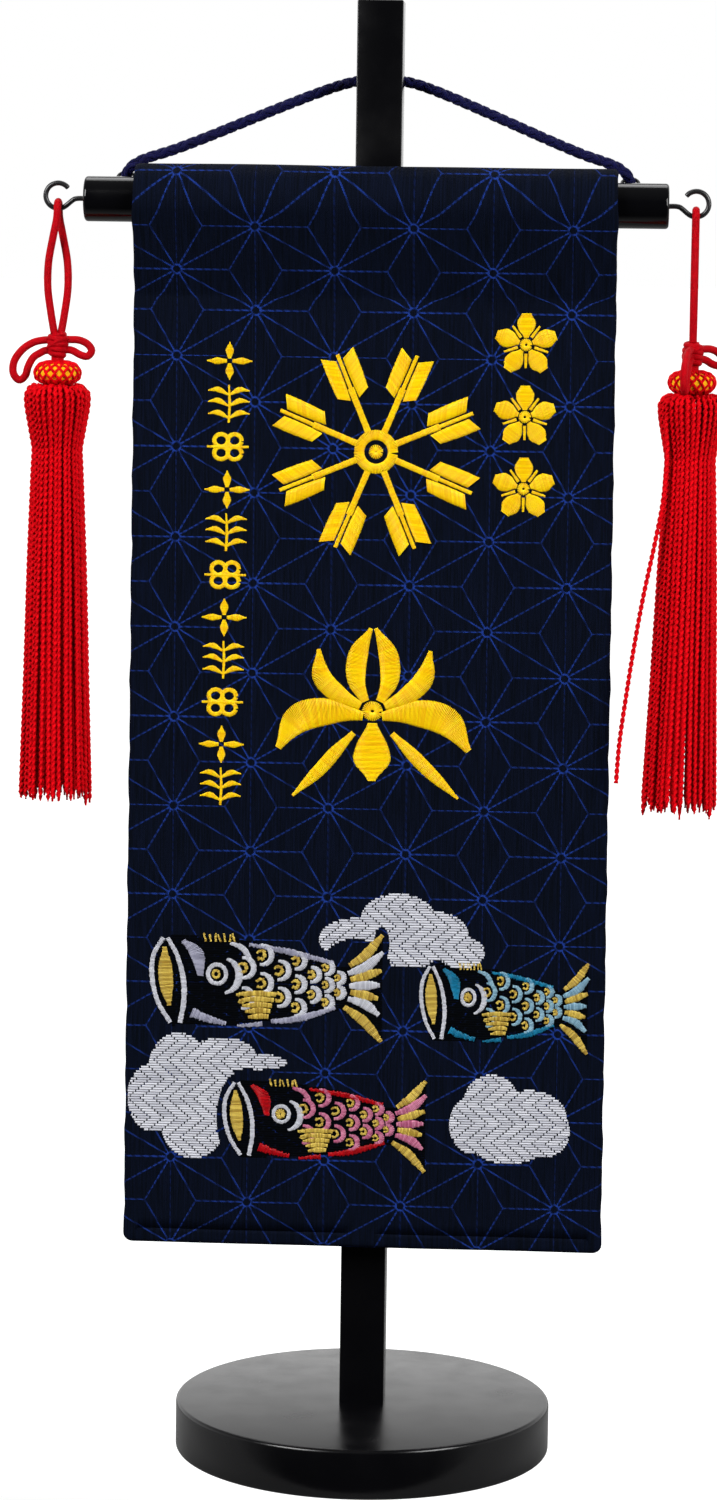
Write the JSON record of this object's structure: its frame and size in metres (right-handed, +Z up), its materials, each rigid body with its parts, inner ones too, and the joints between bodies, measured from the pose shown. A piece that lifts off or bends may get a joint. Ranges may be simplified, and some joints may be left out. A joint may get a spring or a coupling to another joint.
{
  "type": "tabletop hanging banner on a stand",
  "caption": "Tabletop festival banner: brocade flag with carp-streamer embroidery on a corded crossbar, hung from a black post on a round base, with red tassels.",
  "frame": {"origin": "centre of the base's underside", "axes": "+Z up along the post, the banner faces -Y, +X to the right of a viewer who faces the banner"},
  "size_m": [0.2826, 0.152, 0.582],
  "materials": {
    "black_lacquer_wood": "satin black lacquer",
    "black_gloss_rod": "gloss black lacquer",
    "zinc_steel": "zinc plated",
    "black_steel_wire": "black coated steel wire",
    "navy_braid": "round braided cord",
    "navy_brocade": "brocade with a woven blue hemp-leaf pattern and embroidery",
    "white_felt": "soft needled felt",
    "black_lining": "plain woven lining",
    "red_silk": "twisted silky cord",
    "red_gold_head": "braided red cord with gold thread"
  },
  "bodies": {
    "stand": {"base_disc": "black_lacquer_wood", "post": "black_lacquer_wood", "base_screw": "zinc_steel", "back_hook": "black_steel_wire"},
    "hanger": {"rod": "black_gloss_rod", "hanging_cord": "navy_braid", "cord_knot_left": "navy_braid", "cord_knot_right": "navy_braid", "screw_eye_left": "black_steel_wire", "screw_eye_right": "black_steel_wire", "screw_hook_left": "black_steel_wire", "screw_hook_right": "black_steel_wire"},
    "banner": {"banner_front": "navy_brocade", "banner_interlining": "white_felt", "banner_lining": "black_lining"},
    "loop_left": {"tassel_loop_left": "red_silk"},
    "tassel_left": {"tassel_knot_left": "red_silk", "tassel_bow_long_left": "red_silk", "tassel_bow_short_left": "red_silk", "tassel_head_left": "red_gold_head", "tassel_skirt_left": "red_silk"},
    "loop_right": {"tassel_loop_right": "red_silk"},
    "tassel_right": {"tassel_knot_right": "red_silk", "tassel_bow_long_right": "red_silk", "tassel_bow_short_right": "red_silk", "tassel_head_right": "red_gold_head", "tassel_skirt_right": "red_silk"}
  },
  "joints": [
    {"name": "hanger_tilt", "type": "hinge", "parent": "stand", "child": "hanger", "pos_m": [0, 0.0124, 0.54825], "axis": [0, 1, 0], "range_deg": [-8, 8]},
    {"name": "banner_swing", "type": "hinge", "parent": "hanger", "child": "banner", "pos_m": [0, -0.0235, 0.5036], "axis": [-1, 0, 0], "range_deg": [-1.4, 30]},
    {"name": "loop_left_swing", "type": "hinge", "parent": "hanger", "child": "loop_left", "pos_m": [-0.124, -0.0235, 0.4997], "axis": [-1, 0, 0], "range_deg": [-25, 25]},
    {"name": "tassel_left_sway", "type": "hinge", "parent": "loop_left", "child": "tassel_left", "pos_m": [-0.124, -0.0235, 0.4524], "axis": [0, 1, 0], "range_deg": [-3.5, 20]},
    {"name": "loop_right_swing", "type": "hinge", "parent": "hanger", "child": "loop_right", "pos_m": [0.124, -0.0235, 0.4997], "axis": [-1, 0, 0], "range_deg": [-25, 25]},
    {"name": "tassel_right_sway", "type": "hinge", "parent": "loop_right", "child": "tassel_right", "pos_m": [0.124, -0.0235, 0.4524], "axis": [0, -1, 0], "range_deg": [-3.5, 20]}
  ]
}
